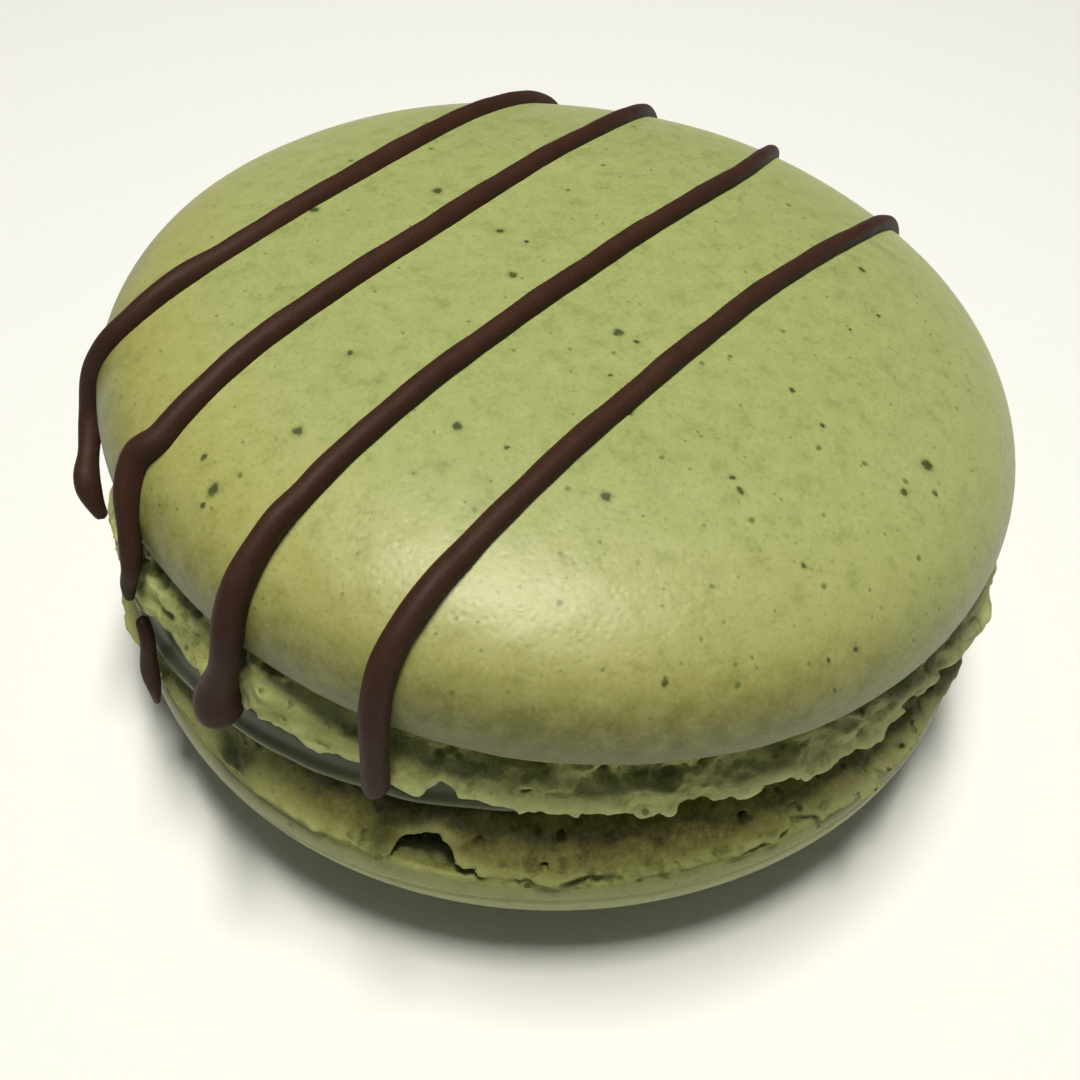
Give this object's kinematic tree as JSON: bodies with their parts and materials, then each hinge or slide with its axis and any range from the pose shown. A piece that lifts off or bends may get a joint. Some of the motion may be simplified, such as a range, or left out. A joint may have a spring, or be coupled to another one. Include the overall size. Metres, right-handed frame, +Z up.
{
  "type": "french macaron",
  "caption": "French macaron with smooth sage green domed shells, ruffled feet, a wedge of filling between them and thin dark chocolate lines draped over the top.",
  "frame": {"origin": "middle of the small flat spot on the underside of the bottom shell, where it rests", "axes": "+Z up through the shells; -Y is the side where the near ends of the chocolate lines hang and the feet show; +X to the right seen from there"},
  "size_m": [0.049, 0.0501, 0.0265],
  "materials": {
    "shell": "smooth satin baked skin with fine orange-peel texture and dark green specks; the foot is matt, open crumb",
    "filling": "smooth, slightly moist grey-green cream",
    "chocolate": "satin dark chocolate, slightly wavy"
  },
  "bodies": {
    "root": {"shell_bottom": "shell", "filling": "filling", "shell_top": "shell"}
  },
  "joints": []
}
